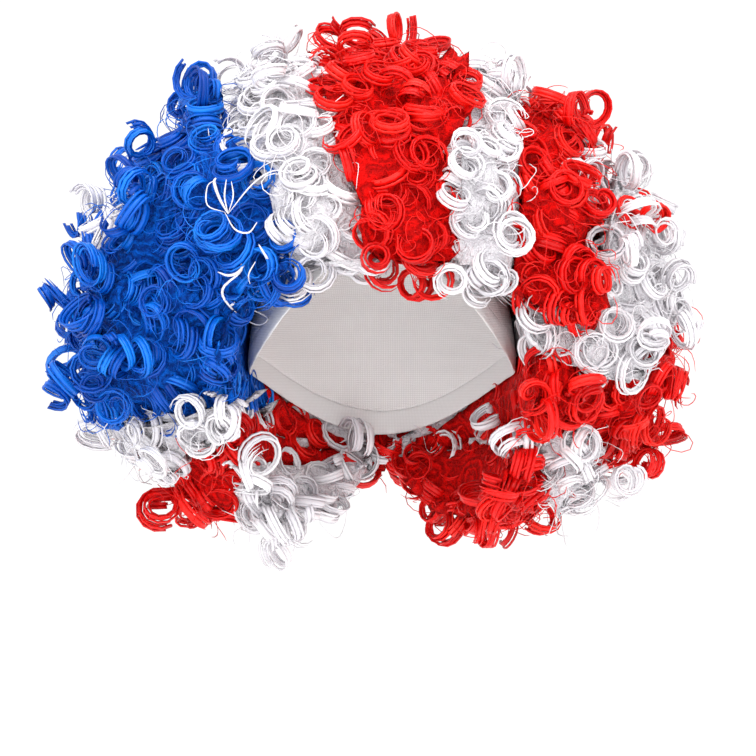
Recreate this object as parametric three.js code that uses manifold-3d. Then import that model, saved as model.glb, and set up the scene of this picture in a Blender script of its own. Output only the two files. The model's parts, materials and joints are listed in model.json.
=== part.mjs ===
// A curly afro costume wig in blue, white and red, in millimetres.
// The hair is curled synthetic fibre on a thin stretch cap with an elastic rim.
// +Z is up, the face looks along -Y, and the origin is where the inside of the
// cap rests on the crown of the head. Right and left are as seen from the front,
// so +X is right.
// Each colour of hair is one solid: a thick mass that starts just off the cap,
// with the outer ends of its locks fused to it as round knobs with a dimple.
import * as THREE from "three";
import { mergeVertices } from "three/addons/utils/BufferGeometryUtils.js";
import Module from "manifold-3d";

const wasm = await Module();
wasm.setup();

// Head that the wig fits
const HEAD_WIDTH = 154;
const HEAD_LENGTH = 196;
const CROWN_HEIGHT = 100; // from the widest level up to the crown
const NECK_DROP = 106; // from the widest level down to the ends of the hair

// Cap
const CAP_WALL = 2;
const BAND_HEIGHT = 14;
const RIM_FRONT = 38; // how far the rim lies below the crown, at the forehead
const RIM_SIDE = 112; // at the ears
const RIM_BACK = 150; // at the nape
const RIM_BEND = 2.2; // how late the rim turns up or down from the ears, as a power
const SEAT_GAP = 0.3; // between pieces that lie against each other

// Hair
const HAIR_ABOVE = 77; // body of the hair above the crown, without the knobs
const HAIR_LEFT = 182; // from the middle plane out to the left
const HAIR_RIGHT = 175;
const HAIR_FRONT = 119; // from the middle of the head forward
const HAIR_BACK = 165;
const FACE_TOP = 48; // top of the face opening, below the crown
const FACE_ARCH = 0.8; // its arch as a power: 1 is a half ellipse, less is squarer
const FACE_FLARE = 34; // how much further out the hair's front edge lies at its frontmost
const LOCK_PITCH = 48; // least distance between two locks
const LOCK_RADIUS = 24;
const LOCK_VARIETY = 0.08; // how far the sizes of the locks differ, as a share
const LOCK_RISE = 13; // how far a lock's rim stands out of the body
const LOCK_ROOT = 12; // how deep a lock is sunk into it
const LOCK_DROOP = 0.12; // how far a lock leans down, as a slope
const LOCK_SIDES = 6;
const LOCK_BELLY = 0.4; // height of a lock's widest level, as a share of LOCK_RISE
const LOCK_TOP = 0.6; // radius of its top rim, as a share of LOCK_RADIUS
const LOCK_DIMPLE = 0.2; // height of the bottom of its dimple, as a share of LOCK_RISE
const LOCK_SIZE_STEP = 5.1; // radians that the size wave moves on from lock to lock
const LOCK_TURN_STEP = 1.7; // radians that each lock is turned further than the last
const PARTING = 0.32; // degrees left open on each side of a parting
const FAN_CORE = 6; // radius left open round the line where all the partings meet
const FAN_CORE_SIDES = 6;

// How finely the round forms are cut
const CAP_COLUMNS = 24;
const CAP_ROWS = 5;
const BODY_COLUMNS = 24;
const ARCH_STEPS = 7;
const NECK_LEVELS = [0.33, 0.67, 1]; // rings of the hollow below the rim, as shares of its depth
const OUTER_LEVELS = [0.25, 0.5, 0.75]; // corners of a strip's cutter on its outside
const LOCK_SEARCH = { rows: 120, columns: 90 };

const RED = 0xd80d0d;
const WHITE = 0xf3f0f4;
const BLUE = 0x0a58c8;
const NET = 0xe9e6e2;
const ELASTIC = 0xf4f2ef;
const FIBRE_ROUGHNESS = 0.42;
const KNIT_ROUGHNESS = 0.85;

// The head below its widest level. down is a share of NECK_DROP, side and back
// are shares of the half width and half length.
const HEAD_SECTIONS = [
  { down: 0, side: 1, back: 1 },
  { down: 0.25, side: 1, back: 0.97 },
  { down: 0.5, side: 0.96, back: 0.88 },
  { down: 0.75, side: 0.83, back: 0.72 },
  { down: 1, side: 0.69, back: 0.6 },
  { down: 1.5, side: 0.69, back: 0.6 },
];

// The face opening on its way forward. forward is a share of the way to the
// frontmost hair, flare a share of FACE_FLARE.
const FACE_STATIONS = [
  { forward: 0, flare: 0 },
  { forward: 0.35, flare: 0.06 },
  { forward: 0.7, flare: 0.5 },
  { forward: 1, flare: 1 },
  { forward: 1.5, flare: 1.6 },
];

// The body of the hair in level rings, from the top down. height is a share of
// HAIR_ABOVE above the crown, or of the depth to the hair's lower end below it.
// The others are shares of the hair's four reaches.
const HAIR_RINGS = [
  { height: 1, left: 0.1, right: 0.1, front: 0.1, back: 0.12 },
  { height: 0.93, left: 0.33, right: 0.31, front: 0.4, back: 0.36 },
  { height: 0.72, left: 0.52, right: 0.49, front: 0.66, back: 0.56 },
  { height: 0.42, left: 0.66, right: 0.67, front: 0.87, back: 0.74 },
  { height: 0.06, left: 0.79, right: 0.78, front: 1, back: 0.88 },
  { height: -0.14, left: 0.92, right: 0.91, front: 1, back: 0.97 },
  { height: -0.32, left: 1, right: 0.98, front: 0.93, back: 1 },
  { height: -0.52, left: 1, right: 1, front: 0.82, back: 1 },
  { height: -0.68, left: 0.91, right: 0.93, front: 0.66, back: 0.92 },
  { height: -0.82, left: 0.75, right: 0.79, front: 0.46, back: 0.78 },
  { height: -0.93, left: 0.58, right: 0.63, front: 0.22, back: 0.62 },
  { height: -0.985, left: 0.42, right: 0.47, front: 0.08, back: 0.48 },
];

// Where two colours meet, as angles seen from the front about the middle of the
// face opening: 0 is right and 90 is up. In front the parting runs from the face
// by way of a middle ring to the outline, as far out as PARTING_RINGS says, and
// back is its angle at the rear, where the strips run together at the nape.
const PARTINGS = {
  neck_right: { face: -80, middle: -75, outline: -66, back: -34 },
  red_white_neck_right: { face: -25, middle: -38, outline: -44, back: 0 },
  white_red_low_right: { face: -22, middle: -18, outline: -25, back: 14 },
  red_white_right: { face: 8, middle: 0, outline: 10, back: 34 },
  white_red_right: { face: 23, middle: 22, outline: 41, back: 55 },
  red_white_top: { face: 29, middle: 52, outline: 64, back: 73 },
  white_red_top: { face: 58, middle: 70, outline: 80, back: 88 },
  red_white_front: { face: 94, middle: 101, outline: 101, back: 104 },
  white_blue: { face: 132, middle: 120, outline: 125, back: 121 },
  red_white_back: { face: 142, middle: 142, outline: 141, back: 138 },
  white_red_back: { face: 166, middle: 166, outline: 166, back: 157 },
  blue_white: { face: 191, middle: 195, outline: 188, back: 173 },
  white_red_low_left: { face: 194, middle: 203, outline: 203, back: 188 },
  red_white_neck_left: { face: 212, middle: 223, outline: 228, back: 200 },
  neck_left: { face: 262, middle: 254, outline: 246, back: 214 },
};
const PARTING_RINGS = { face: 0.45, middle: 0.714, outline: 0.989 }; // shares of HAIR_LEFT

// The strips of hair. Where two meet, the locks of the one listed first lie over
// the other. A strip runs from front to back, unless part says that it has only
// the front or the rear of that.
const STRIPS = [
  { name: "hair_blue_side", colour: BLUE, from: "white_blue", to: "blue_white", part: "front" },
  { name: "hair_red_top", colour: RED, from: "white_red_top", to: "red_white_front" },
  { name: "hair_red_right", colour: RED, from: "white_red_right", to: "red_white_top" },
  { name: "hair_white_front", colour: WHITE, from: "red_white_front", to: "white_blue" },
  { name: "hair_white_top", colour: WHITE, from: "red_white_top", to: "white_red_top" },
  { name: "hair_white_right", colour: WHITE, from: "red_white_right", to: "white_red_right" },
  { name: "hair_red_low_right", colour: RED, from: "white_red_low_right", to: "red_white_right" },
  { name: "hair_red_neck_right", colour: RED, from: "neck_right", to: "red_white_neck_right" },
  { name: "hair_white_low_right", colour: WHITE, from: "red_white_neck_right", to: "white_red_low_right" },
  { name: "hair_white_low_left", colour: WHITE, from: "blue_white", to: "white_red_low_left" },
  { name: "hair_red_low_left", colour: RED, from: "white_red_low_left", to: "red_white_neck_left" },
  { name: "hair_white_neck_left", colour: WHITE, from: "red_white_neck_left", to: "neck_left" },
  { name: "hair_red_back", colour: RED, from: "white_blue", to: "red_white_back", part: "rear" },
  { name: "hair_white_back", colour: WHITE, from: "red_white_back", to: "white_red_back", part: "rear" },
  { name: "hair_red_low_back", colour: RED, from: "white_red_back", to: "blue_white", part: "rear" },
];
const BLUE_REAR = 46; // how far behind the middle of the head the blue patch ends

// The partings fan out from a line that runs level through the head from the face
// and goes down at the back. back is a share of HAIR_BACK, down of FAN_DROP.
const FAN_LEVEL = 10; // the line at the face, below the head's widest level
const FAN_DROP = 125; // how much lower it is at the back of the hair
const FAN = [
  { back: -2, down: 0 },
  { back: 0.12, down: 0 },
  { back: 0.5, down: 0.35 },
  { back: 1, down: 1 },
  { back: 2, down: 2 },
];

const HAIR_DEPTH = CROWN_HEIGHT + NECK_DROP;
const FAR = 3 * HAIR_LEFT; // well outside the hair

// Value of one column of a table at x, on straight lines between its rows. The
// key may rise or fall down the table.
function column(rows, key, name, x) {
  for (let i = 1; i < rows.length; i++) {
    const share = (x - rows[i - 1][key]) / (rows[i][key] - rows[i - 1][key]);
    if (share > 1 && i < rows.length - 1) continue;
    return THREE.MathUtils.lerp(rows[i - 1][name], rows[i][name], THREE.MathUtils.clamp(share, 0, 1));
  }
}

// A closed surface through rings of equally many points. Each end closes on the
// middle of its ring, or the first end on the tip given. The last facets round a
// ring, as many as alike says, are cut as their mirror images at its start are.
function loft(rings, { tip, alike = 0 } = {}) {
  const around = rings[0].length;
  const places = rings.flat();
  const faces = [];
  for (let i = 0; i + 1 < rings.length; i++) {
    for (let j = 0; j < around; j++) {
      const a = i * around + j;
      const b = i * around + ((j + 1) % around);
      if (j >= around - alike) faces.push(a, b, a + around, b, b + around, a + around);
      else faces.push(a, b, b + around, a, b + around, a + around);
    }
  }
  for (const [ring, turned] of [[rings[0], false], [rings[rings.length - 1], true]]) {
    const middle = ring.reduce((sum, p) => sum.add(p), new THREE.Vector3()).divideScalar(around);
    const centre = places.push(!turned && tip ? tip : middle) - 1;
    const first = turned ? (rings.length - 1) * around : 0;
    for (let j = 0; j < around; j++) {
      const a = first + j;
      const b = first + ((j + 1) % around);
      faces.push(...(turned ? [a, b, centre] : [b, a, centre]));
    }
  }
  return new THREE.BufferGeometry().setFromPoints(places).setIndex(faces);
}

// A geometry as a solid that can be joined and cut, with its faces outwards.
function solid(geometry) {
  const plain = geometry.clone();
  plain.deleteAttribute("normal");
  plain.deleteAttribute("uv");
  const merged = mergeVertices(plain, 1e-3);
  const corners = new Uint32Array(merged.index.array);
  const make = () =>
    new wasm.Manifold(
      new wasm.Mesh({
        numProp: 3,
        vertProperties: merged.attributes.position.array,
        triVerts: corners,
      }),
    );
  const made = make();
  if (made.volume() > 0) return made;
  for (let i = 0; i < corners.length; i += 3) {
    [corners[i + 1], corners[i + 2]] = [corners[i + 2], corners[i + 1]];
  }
  return make();
}

// A solid as a named mesh.
function mesh(name, made, colour, roughness) {
  const { vertProperties, triVerts, numProp, numVert } = made.getMesh();
  const places = new Float32Array(numVert * 3);
  for (let i = 0; i < numVert; i++) {
    places.set(vertProperties.subarray(i * numProp, i * numProp + 3), i * 3);
  }
  const geometry = new THREE.BufferGeometry()
    .setAttribute("position", new THREE.BufferAttribute(places, 3))
    .setIndex(new THREE.BufferAttribute(triVerts, 1));
  geometry.computeVertexNormals();
  const material = new THREE.MeshStandardMaterial({ color: colour, roughness, metalness: 0 });
  const named = new THREE.Mesh(geometry, material);
  named.name = name;
  return named;
}

// Half extents of the head at height z, with its surface moved out by grow.
function headRing(z, grow) {
  const side = HEAD_WIDTH / 2 + grow;
  const length = HEAD_LENGTH / 2 + grow;
  const above = z + CROWN_HEIGHT;
  if (above > 0) {
    const share = Math.sqrt(Math.max(0, 1 - (above / (CROWN_HEIGHT + grow)) ** 2));
    return { side: side * share, front: length * share, back: length * share };
  }
  const down = -above / NECK_DROP;
  return {
    side: side * column(HEAD_SECTIONS, "down", "side", down),
    front: length,
    back: length * column(HEAD_SECTIONS, "down", "back", down),
  };
}

// The point of the head's surface at height z and at a turn from the right
// (radians) by way of the back.
function headPoint(z, turn, grow) {
  const ring = headRing(z, grow);
  const along = Math.sin(turn);
  const reach = along < 0 ? ring.front : ring.back;
  return new THREE.Vector3(ring.side * Math.cos(turn), reach * along, z);
}

// Height of the cap's rim at a turn: high at the forehead, low at the nape.
function rimHeight(turn) {
  const along = Math.sin(turn);
  const end = along < 0 ? RIM_FRONT : RIM_BACK;
  return -THREE.MathUtils.lerp(RIM_SIDE, end, Math.abs(along) ** RIM_BEND);
}

// Rings of the dome over the head, from the crown down to the cap's edge.
function domeRings(grow) {
  const rings = [];
  for (let i = 1; i <= CAP_ROWS; i++) {
    const share = 1 - Math.cos((Math.PI / 2) * (i / CAP_ROWS));
    rings.push(slantedRing((turn) => THREE.MathUtils.lerp(grow, edgeHeight(turn), share), grow));
  }
  return rings;
}

const edgeHeight = (turn) => rimHeight(turn) + BAND_HEIGHT + SEAT_GAP;

// A ring round the head whose height changes with the turn.
function slantedRing(height, grow) {
  return Array.from({ length: CAP_COLUMNS }, (_, j) => {
    const turn = (2 * Math.PI * j) / CAP_COLUMNS;
    return headPoint(height(turn), turn, grow);
  });
}

// The cap: one thin dome, inner and outer surface and the edge between them.
function capCrown() {
  const places = [];
  const faces = [];
  for (const grow of [0, CAP_WALL]) {
    places.push(new THREE.Vector3(0, 0, grow), ...domeRings(grow).flat());
  }
  const layer = 1 + CAP_ROWS * CAP_COLUMNS;
  const at = (side, i, j) => side * layer + 1 + (i - 1) * CAP_COLUMNS + (j % CAP_COLUMNS);
  for (let j = 0; j < CAP_COLUMNS; j++) {
    faces.push(0, at(0, 1, j + 1), at(0, 1, j));
    faces.push(layer, at(1, 1, j), at(1, 1, j + 1));
    for (let i = 1; i < CAP_ROWS; i++) {
      faces.push(at(0, i, j), at(0, i, j + 1), at(0, i + 1, j + 1));
      faces.push(at(0, i, j), at(0, i + 1, j + 1), at(0, i + 1, j));
      faces.push(at(1, i, j), at(1, i + 1, j + 1), at(1, i, j + 1));
      faces.push(at(1, i, j), at(1, i + 1, j), at(1, i + 1, j + 1));
    }
    faces.push(at(0, CAP_ROWS, j), at(0, CAP_ROWS, j + 1), at(1, CAP_ROWS, j + 1));
    faces.push(at(0, CAP_ROWS, j), at(1, CAP_ROWS, j + 1), at(1, CAP_ROWS, j));
  }
  return solid(new THREE.BufferGeometry().setFromPoints(places).setIndex(faces));
}

// The elastic band that carries on where the cap ends.
function capBand() {
  const places = [];
  const faces = [];
  for (let j = 0; j < CAP_COLUMNS; j++) {
    const turn = (2 * Math.PI * j) / CAP_COLUMNS;
    const low = rimHeight(turn);
    const high = low + BAND_HEIGHT;
    places.push(headPoint(low, turn, 0), headPoint(low, turn, CAP_WALL));
    places.push(headPoint(high, turn, CAP_WALL), headPoint(high, turn, 0));
    for (let k = 0; k < 4; k++) {
      const a = 4 * j + k;
      const b = 4 * j + ((k + 1) % 4);
      const next = 4 * ((j + 1) % CAP_COLUMNS) - 4 * j;
      faces.push(a, b, a + next, b, b + next, a + next);
    }
  }
  return solid(new THREE.BufferGeometry().setFromPoints(places).setIndex(faces));
}

// The space that the head, the cap and the neck take up inside the hair. Its
// facets run along those of the cap, so the hair lies close on it all round.
function headHollow() {
  const grow = CAP_WALL + SEAT_GAP;
  const rings = domeRings(grow);
  rings.push(slantedRing(rimHeight, grow));
  const low = -CROWN_HEIGHT - HEAD_SECTIONS[HEAD_SECTIONS.length - 1].down * NECK_DROP;
  for (const share of NECK_LEVELS) {
    rings.push(slantedRing((turn) => THREE.MathUtils.lerp(rimHeight(turn), low, share), grow));
  }
  return solid(loft(rings, { tip: new THREE.Vector3(0, 0, grow) }));
}

// The face opening: the head's outline from the front with an arched top, swept
// forward and growing wider, so that the hair's front edge slopes back to the face.
function faceOpening() {
  const side = HEAD_WIDTH / 2 + CAP_WALL + SEAT_GAP;
  const outline = [];
  for (let i = 1; i <= ARCH_STEPS; i++) {
    const turn = (Math.PI / 2) * (i / ARCH_STEPS);
    const x = side * Math.sin(turn) ** FACE_ARCH;
    outline.push([x, -CROWN_HEIGHT + (CROWN_HEIGHT - FACE_TOP) * Math.cos(turn) ** FACE_ARCH]);
  }
  for (const row of HEAD_SECTIONS.slice(1)) {
    outline.push([side * row.side, -CROWN_HEIGHT - row.down * NECK_DROP]);
  }
  const whole = [
    [0, -FACE_TOP],
    ...outline,
    ...outline.reverse().map(([x, z]) => [-x, z]),
  ];
  const frontmost = HAIR_FRONT + LOCK_RADIUS;
  const ring = ({ forward, flare }) => {
    const wider = 1 + (flare * FACE_FLARE) / side;
    return whole.map(([x, z]) => new THREE.Vector3(x * wider, -forward * frontmost, z));
  };
  return solid(loft(FACE_STATIONS.map(ring)));
}

// The point of the hair's body at a height share and at a turn from the right.
function bodyPoint(share, turn) {
  const reach = (name) => column(HAIR_RINGS, "height", name, share);
  const across = Math.cos(turn);
  const along = Math.sin(turn);
  const width = across < 0 ? HAIR_LEFT * reach("left") : HAIR_RIGHT * reach("right");
  const depth = along < 0 ? HAIR_FRONT * reach("front") : HAIR_BACK * reach("back");
  const height = share * (share > 0 ? HAIR_ABOVE : HAIR_DEPTH);
  return new THREE.Vector3(width * across, depth * along, height);
}

function bodySolid() {
  const rings = HAIR_RINGS.map(({ height }) =>
    Array.from({ length: BODY_COLUMNS }, (_, j) =>
      bodyPoint(height, (2 * Math.PI * j) / BODY_COLUMNS),
    ),
  );
  return solid(loft(rings));
}

// Outward direction of the body's surface, from two short steps along it.
function bodyNormal(share, turn) {
  const step = 0.02;
  const up = bodyPoint(share + step, turn).sub(bodyPoint(share - step, turn));
  const round = bodyPoint(share, turn + step).sub(bodyPoint(share, turn - step));
  return round.cross(up).normalize();
}

// Profile of a lock's end, about its own axis: a rounded knob with a dimple, as
// a ringlet looks end on. grow makes the space that such a lock needs.
function lockProfile(grow) {
  const top = LOCK_RISE + grow;
  const radius = LOCK_RADIUS + grow;
  return [
    new THREE.Vector2(0, -LOCK_ROOT - grow),
    new THREE.Vector2(radius, LOCK_BELLY * LOCK_RISE),
    new THREE.Vector2(LOCK_TOP * radius, top),
    new THREE.Vector2(0, grow ? top : LOCK_DIMPLE * LOCK_RISE),
  ];
}

// Where the locks sit: the body is walked round and round from the top down, and
// a lock goes wherever there is room for one.
function lockPlaces() {
  const found = [];
  const { rows, columns } = LOCK_SEARCH;
  const low = HAIR_RINGS[HAIR_RINGS.length - 1].height;
  for (let i = 0; i < rows * columns; i++) {
    const share = THREE.MathUtils.lerp(1, low, i / (rows * columns));
    const turn = (2 * Math.PI * i) / columns;
    const place = bodyPoint(share, turn);
    if (found.some((lock) => lock.place.distanceTo(place) < LOCK_PITCH)) continue;
    found.push({ share, turn, place });
  }
  return found;
}

// One lock at its place, leaning down a little and turned about its own axis.
function lockAt({ share, turn, place }, order, grow) {
  const size = 1 + LOCK_VARIETY * Math.sin(LOCK_SIZE_STEP * order);
  const out = bodyNormal(share, turn);
  out.z -= LOCK_DROOP;
  out.normalize();
  const knob = new THREE.LatheGeometry(lockProfile(grow), LOCK_SIDES)
    .rotateY(LOCK_TURN_STEP * order)
    .scale(size, size, size);
  const turned = new THREE.Quaternion().setFromUnitVectors(new THREE.Vector3(0, 1, 0), out);
  knob.applyQuaternion(turned).translate(place.x, place.y, place.z);
  return solid(knob);
}

// Distances from the middle of the head at which the partings are cut.
const FRONT_END = FAN[1].back * HAIR_BACK;
const WEDGE_STATIONS = [-FAR, FRONT_END, FAN[2].back * HAIR_BACK, HAIR_BACK, FAR];

// Middle of the fan at a distance y from the middle of the head.
function fanMiddle(y) {
  const down = column(FAN, "back", "down", y / HAIR_BACK);
  return new THREE.Vector3(0, y, -CROWN_HEIGHT - FAN_LEVEL - down * FAN_DROP);
}

// Angle of a parting on one of the PARTING_RINGS at a distance y from the middle
// of the head.
function partingAngle(parting, ring, y) {
  const share = THREE.MathUtils.clamp((y - FRONT_END) / (HAIR_BACK - FRONT_END), 0, 1);
  return THREE.MathUtils.lerp(parting[ring], parting.back, share);
}

// The space between a strip's two partings, from the fan's middle outwards. open
// is the angle left open at each parting, and a negative one makes it larger.
function wedge({ from, to, part }, open) {
  const places = Object.entries({ ...PARTING_RINGS, outside: FAR / HAIR_LEFT });
  const rings = WEDGE_STATIONS.map((y) => {
    const middle = fanMiddle(y);
    const point = (angle, radius) => {
      const turn = THREE.MathUtils.degToRad(angle);
      return new THREE.Vector3(Math.cos(turn), 0, Math.sin(turn)).multiplyScalar(radius).add(middle);
    };
    const side = (parting, shift) =>
      places.map(([ring, share]) => {
        const read = ring === "outside" ? "outline" : ring;
        return point(partingAngle(PARTINGS[parting], read, y) + shift, share * HAIR_LEFT);
      });
    const start = partingAngle(PARTINGS[from], "outline", y);
    const end = partingAngle(PARTINGS[to], "outline", y);
    const outer = OUTER_LEVELS.map((share) => point(THREE.MathUtils.lerp(start, end, share), FAR));
    return [middle, ...side(from, open), ...outer, ...side(to, -open).reverse()];
  });
  const whole = solid(loft(rings, { alike: places.length }));
  if (!part) return whole;
  const side = part === "front" ? -1 : 1;
  const slab = new THREE.BoxGeometry(2 * FAR, 2 * FAR, 2 * FAR);
  const shift = BLUE_REAR + side * (FAR + SEAT_GAP * Math.sign(open));
  return whole.intersect(solid(slab.translate(0, shift, 0)));
}

const together = (solids) => solids.reduce((sum, one) => sum.add(one));

// Angle of a parting at any radius from the fan's middle.
function partingAt(parting, radius, y) {
  const rows = Object.entries(PARTING_RINGS).map(([ring, share]) => ({
    radius: share * HAIR_LEFT,
    angle: partingAngle(parting, ring, y),
  }));
  return column(rows, "radius", "angle", radius);
}

// True if a point lies between a strip's partings.
function within(strip, place) {
  if (strip.part === "front" && place.y > BLUE_REAR) return false;
  if (strip.part === "rear" && place.y <= BLUE_REAR) return false;
  const away = place.clone().sub(fanMiddle(place.y));
  const start = partingAt(PARTINGS[strip.from], away.length(), place.y);
  const end = partingAt(PARTINGS[strip.to], away.length(), place.y);
  const angle = THREE.MathUtils.radToDeg(Math.atan2(away.z, away.x));
  return THREE.MathUtils.euclideanModulo(angle - start, 360) <= end - start;
}

// A thin passage along the line where the partings meet, so that no two strips
// touch there.
function fanCore() {
  const turns = Array.from({ length: FAN_CORE_SIDES }, (_, i) => (2 * Math.PI * i) / FAN_CORE_SIDES);
  const away = (turn) => new THREE.Vector3(FAN_CORE * Math.cos(turn), 0, FAN_CORE * Math.sin(turn));
  return solid(loft(WEDGE_STATIONS.map((y) => turns.map((turn) => away(turn).add(fanMiddle(y))))));
}

// All strips, each cut clear of the locks of the strips listed before it.
function hairStrips() {
  const empty = headHollow().add(faceOpening()).add(fanCore());
  const body = bodySolid().subtract(empty);
  const locks = lockPlaces().map((place, order) => ({
    strip: STRIPS.find((strip) => within(strip, place.place)),
    made: lockAt(place, order, 0).subtract(empty),
    space: lockAt(place, order, SEAT_GAP),
  }));
  const done = [];
  return STRIPS.map((strip) => {
    let own = body.intersect(wedge(strip, PARTING));
    const mine = locks.filter((lock) => lock.strip === strip && lock.made.volume() > 0);
    if (mine.length) {
      let knobs = together(mine.map((lock) => lock.made));
      for (const before of done) knobs = knobs.subtract(wedge(before, -PARTING));
      own = own.add(knobs);
    }
    const spaces = locks.filter((lock) => done.includes(lock.strip)).map((lock) => lock.space);
    if (spaces.length) own = own.subtract(together(spaces));
    done.push(strip);
    const pieces = own.decompose().sort((a, b) => b.volume() - a.volume());
    return mesh(strip.name, pieces[0], strip.colour, FIBRE_ROUGHNESS);
  });
}

const wig = new THREE.Group();
wig.add(mesh("cap_crown", capCrown(), NET, KNIT_ROUGHNESS));
wig.add(mesh("cap_band", capBand(), ELASTIC, KNIT_ROUGHNESS));
wig.add(...hairStrips());

export default wig;
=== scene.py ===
# %% [markdown]
# # A curly costume wig in Blender
#
# The wig is a thin stretch cap with more than a thousand tight ringlets sewn to
# it. The solid model gives the cap and, for every strip of coloured hair, one
# rounded mass. Here the cap gets its knitted cloth, and each mass is dressed
# with its ringlets.

# %% Load the frame
import json
import math

import bmesh
import bpy
import numpy as np
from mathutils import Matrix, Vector
from mathutils.bvhtree import BVHTree


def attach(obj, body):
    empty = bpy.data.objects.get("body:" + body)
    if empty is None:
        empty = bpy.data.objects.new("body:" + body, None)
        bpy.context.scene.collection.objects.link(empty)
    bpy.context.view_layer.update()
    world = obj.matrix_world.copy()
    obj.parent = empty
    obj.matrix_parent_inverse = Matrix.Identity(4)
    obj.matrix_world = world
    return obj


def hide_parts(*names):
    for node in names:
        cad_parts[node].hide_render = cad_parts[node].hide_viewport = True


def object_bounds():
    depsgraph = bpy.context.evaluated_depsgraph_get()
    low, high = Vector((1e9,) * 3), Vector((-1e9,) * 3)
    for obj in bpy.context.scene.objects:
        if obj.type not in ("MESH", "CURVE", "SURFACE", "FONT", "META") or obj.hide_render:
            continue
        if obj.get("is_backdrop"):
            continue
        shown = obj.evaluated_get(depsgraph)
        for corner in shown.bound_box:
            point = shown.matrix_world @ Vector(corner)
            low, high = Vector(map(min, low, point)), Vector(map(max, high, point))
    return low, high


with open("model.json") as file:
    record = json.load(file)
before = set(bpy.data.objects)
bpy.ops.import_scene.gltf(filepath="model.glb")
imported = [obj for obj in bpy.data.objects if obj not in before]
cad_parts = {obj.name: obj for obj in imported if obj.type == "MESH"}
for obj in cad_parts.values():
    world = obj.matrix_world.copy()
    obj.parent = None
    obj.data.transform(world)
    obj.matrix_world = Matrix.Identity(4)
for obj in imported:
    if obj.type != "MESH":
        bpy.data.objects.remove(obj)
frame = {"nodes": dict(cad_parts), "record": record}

MM = 0.001
cad_low, cad_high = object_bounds()
rng = np.random.default_rng(7)
slots = {part["node"]: part["material_slot"] for part in frame["record"]["subparts"]}
hair_nodes = sorted(name for name in frame["nodes"] if name.startswith("hair_"))
print("hair masses:", len(hair_nodes))

# %% [markdown]
# ## The studio
#
# The wig is shown from straight ahead at the height of its middle, from far
# enough away that near and far curls keep nearly the same size. A white curved
# backdrop under large soft lamps is how such a shop picture is lit: it gives
# long soft highlights on glossy fibre and no hard shadow. The lamps are large
# area lights, because a small lamp would put one hard dot on every curl. The
# backdrop is a sheet that runs level and then bends up, far enough off to leave
# room for a look from behind, and it glows a little so that it stays white.

# %% Camera
CAMERA_DISTANCE = 1.6
VIEW_WIDTH = 0.442
AIM = Vector((-0.0023, 0.0, -0.114))
SENSOR = 36.0

camera_data = bpy.data.cameras.new("camera")
camera_data.sensor_width = SENSOR
camera_data.lens = SENSOR * CAMERA_DISTANCE / VIEW_WIDTH
camera = bpy.data.objects.new("camera", camera_data)
camera.location = AIM + Vector((0, -CAMERA_DISTANCE, 0))
camera.rotation_euler = (math.radians(90), 0, 0)
bpy.context.scene.collection.objects.link(camera)
bpy.context.scene.camera = camera
print("lens in mm:", round(camera_data.lens, 1))

# %% Lamps and surroundings
LAMPS = [
    # name, place, aim, width, height, watts
    ("lamp_top", (0.0, -0.6, 1.1), (0, 0, -0.1), 1.4, 1.0, 17),
    ("lamp_left", (-1.3, -1.0, 0.3), (0, 0, -0.1), 0.8, 1.2, 6),
    ("lamp_right", (1.3, -1.0, 0.2), (0, 0, -0.1), 0.8, 1.2, 6),
    ("lamp_front", (0.0, -2.2, 0.25), (0, 0, -0.15), 0.7, 0.7, 8),
]


def add_lamp(name, place, aim, width, height, watts):
    data = bpy.data.lights.new(name, "AREA")
    data.shape = "RECTANGLE"
    data.size, data.size_y = width, height
    data.energy = watts
    lamp = bpy.data.objects.new(name, data)
    lamp.location = place
    lamp.rotation_euler = (Vector(aim) - Vector(place)).to_track_quat("-Z", "Y").to_euler()
    bpy.context.scene.collection.objects.link(lamp)


for row in LAMPS:
    add_lamp(*row)

SURROUND_LIGHT = 0.9
world = bpy.data.worlds.new("studio")
world.use_nodes = True
background = world.node_tree.nodes["Background"]
background.inputs["Color"].default_value = (1, 1, 1, 1)
background.inputs["Strength"].default_value = SURROUND_LIGHT
bpy.context.scene.world = world
bpy.context.scene.view_settings.view_transform = "Standard"
print("lamps:", len(LAMPS))

# %% Backdrop
FLOOR_LEVEL = -0.42
BACKDROP_BEND = 2.0
BACKDROP_HALF = 8.0
BACKDROP_NEAR = -8.0
BACKDROP_FAR = 6.0
BACKDROP_STEPS = 16
BACKDROP_RISE = 3.0
BACKDROP_GLOW = 0.16


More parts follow.
